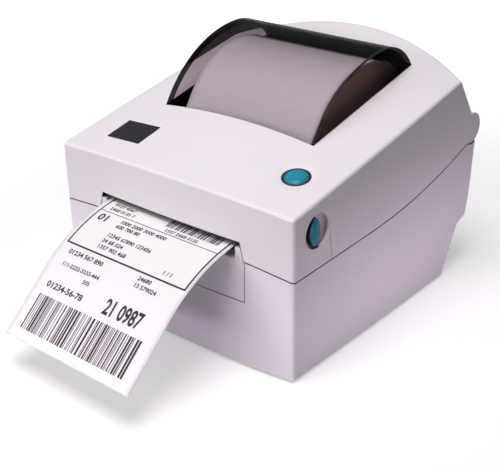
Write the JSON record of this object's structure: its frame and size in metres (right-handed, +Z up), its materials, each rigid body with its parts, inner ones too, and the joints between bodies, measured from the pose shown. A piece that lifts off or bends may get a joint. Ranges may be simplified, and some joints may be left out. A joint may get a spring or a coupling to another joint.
{
  "type": "thermal label printer",
  "caption": "Desktop thermal label printer with a hinged light-grey lid, smoked domed window, teal feed button and side latches, holding a roll of paper labels.",
  "frame": {"origin": "on the table, under the middle of the body, level with the undersides of the feet", "axes": "+X to the right seen from the front, +Y to the back, +Z up"},
  "size_m": [0.203, 0.3157, 0.1739],
  "materials": {
    "light_grey_abs": "fine moulded grain",
    "grey_tray_abs": "fine moulded grain",
    "smoked_acrylic": "polished, translucent",
    "teal_abs": "satin",
    "charcoal_plastic": "satin",
    "badge_foil": "satin foil, bare",
    "foot_rubber": "matt",
    "platen_rubber": "ground",
    "steel": "plain",
    "galvanised_sheet": "zinc plated",
    "white_acetal": "satin",
    "brass": "turned",
    "motor_steel": "satin black",
    "sink_aluminium": "extruded",
    "head_ceramic": "glazed strip",
    "board_laminate": "green solder mask",
    "chip_plastic": "moulded",
    "label_paper": "coated thermal paper",
    "core_card": "wound card",
    "port_metal": "plated",
    "port_plastic": "moulded black"
  },
  "bodies": {
    "base": {"base_shell": "light_grey_abs", "front_bezel": "light_grey_abs", "bottom_tray": "grey_tray_abs", "rubber_feet": "foot_rubber", "base_screws": "steel", "hinge_pins": "steel", "media_deck": "charcoal_plastic", "label_strip": "label_paper", "platen_frame": "galvanised_sheet", "platen_bushes": "white_acetal", "motor_bracket": "galvanised_sheet", "stepper_motor": "motor_steel", "idler_axle": "steel", "media_sensor": "charcoal_plastic", "main_board": "board_laminate", "board_parts": "chip_plastic", "connector_panel": "galvanised_sheet", "power_jack": "port_plastic", "usb_port": "port_metal", "serial_port": "port_metal", "parallel_port": "port_plastic", "power_switch_body": "port_plastic"},
    "lid": {"top_cover": "light_grey_abs", "cover_window": "smoked_acrylic", "badge_plate": "badge_foil", "head_heater_bar": "head_ceramic", "head_heat_sink": "sink_aluminium", "head_carrier": "galvanised_sheet", "tear_bar": "steel", "head_screws": "steel", "button_ring": "charcoal_plastic", "button_board": "board_laminate", "latch_dish_left": "light_grey_abs", "latch_dish_right": "light_grey_abs"},
    "feed_button": {"feed_button": "teal_abs"},
    "latch_lever_right": {"latch_lever_right": "teal_abs"},
    "latch_lever_left": {"latch_lever_left": "teal_abs"},
    "platen": {"platen_shaft": "steel", "platen_roller": "platen_rubber", "platen_gear": "white_acetal"},
    "idler_gear": {"idler_gear": "white_acetal"},
    "motor_pinion": {"motor_pinion": "brass"},
    "roll": {"label_roll": "label_paper", "roll_core": "core_card"},
    "roll_holder_right": {"roll_holder_right": "charcoal_plastic"},
    "roll_holder_left": {"roll_holder_left": "charcoal_plastic"},
    "holder_pinion": {"holder_pinion": "white_acetal"},
    "media_guide_right": {"media_guide_right": "charcoal_plastic"},
    "media_guide_left": {"media_guide_left": "charcoal_plastic"},
    "guide_pinion": {"guide_pinion": "white_acetal"},
    "power_rocker": {"power_rocker": "port_plastic"}
  },
  "joints": [
    {"name": "lid_hinge", "type": "hinge", "parent": "base", "child": "lid", "pos_m": [0, 0.1025, 0.1075], "axis": [-1, 0, 0], "range_deg": [0, 80]},
    {"name": "feed_press", "type": "slide", "parent": "lid", "child": "feed_button", "axis": [-0.0782, 0.2106, -0.9745], "range_m": [0, 0.0012], "stiffness_N_per_m": 900},
    {"name": "latch_right_slide", "type": "slide", "parent": "lid", "child": "latch_lever_right", "axis": [0, -1, 0], "range_m": [0, 0.003], "stiffness_N_per_m": 900, "springref_m": -0.001},
    {"name": "latch_left_slide", "type": "slide", "parent": "lid", "child": "latch_lever_left", "axis": [0, -1, 0], "range_m": [0, 0.003], "stiffness_N_per_m": 900, "springref_m": -0.001},
    {"name": "platen_spin", "type": "hinge", "parent": "base", "child": "platen", "pos_m": [0, -0.084, 0.0742], "axis": [1, 0, 0], "continuous": true},
    {"name": "idler_spin", "type": "hinge", "parent": "base", "child": "idler_gear", "pos_m": [0, -0.068, 0.0532], "axis": [1, 0, 0], "continuous": true},
    {"name": "motor_spin", "type": "hinge", "parent": "base", "child": "motor_pinion", "pos_m": [0, -0.05601, 0.03821], "axis": [1, 0, 0], "continuous": true},
    {"name": "roll_spin", "type": "hinge", "parent": "base", "child": "roll", "pos_m": [0, 0.0315, 0.1], "axis": [1, 0, 0], "continuous": true},
    {"name": "holder_right_slide", "type": "slide", "parent": "base", "child": "roll_holder_right", "axis": [1, 0, 0], "range_m": [0, 0.008], "stiffness_N_per_m": 300, "springref_m": -0.004},
    {"name": "holder_left_slide", "type": "slide", "parent": "base", "child": "roll_holder_left", "axis": [1, 0, 0], "range_m": [-0.008, 0]},
    {"name": "holder_pinion_turn", "type": "hinge", "parent": "base", "child": "holder_pinion", "pos_m": [0, 0.0315, 0.0288], "axis": [0, 0, 1], "range_deg": [-77, 0]},
    {"name": "guide_right_slide", "type": "slide", "parent": "base", "child": "media_guide_right", "axis": [1, 0, 0], "range_m": [0, 0.008]},
    {"name": "guide_left_slide", "type": "slide", "parent": "base", "child": "media_guide_left", "axis": [1, 0, 0], "range_m": [-0.008, 0]},
    {"name": "guide_pinion_turn", "type": "hinge", "parent": "base", "child": "guide_pinion", "pos_m": [0, -0.052, 0.0763], "axis": [0, 0, 1], "range_deg": [-77, 0]},
    {"name": "power_rock", "type": "hinge", "parent": "base", "child": "power_rocker", "pos_m": [-0.053, 0.081, 0.0274], "axis": [0, 0, 1], "range_deg": [0, 14]}
  ],
  "couplings": [
    {"joint": "idler_spin", "follows": "platen_spin", "ratio": -0.83333},
    {"joint": "motor_spin", "follows": "platen_spin", "ratio": 2.5},
    {"joint": "holder_left_slide", "follows": "holder_right_slide", "ratio": -1},
    {"joint": "holder_pinion_turn", "follows": "holder_right_slide", "rad_per_m": -166.67},
    {"joint": "guide_left_slide", "follows": "guide_right_slide", "ratio": -1},
    {"joint": "guide_pinion_turn", "follows": "guide_right_slide", "rad_per_m": -166.67}
  ]
}
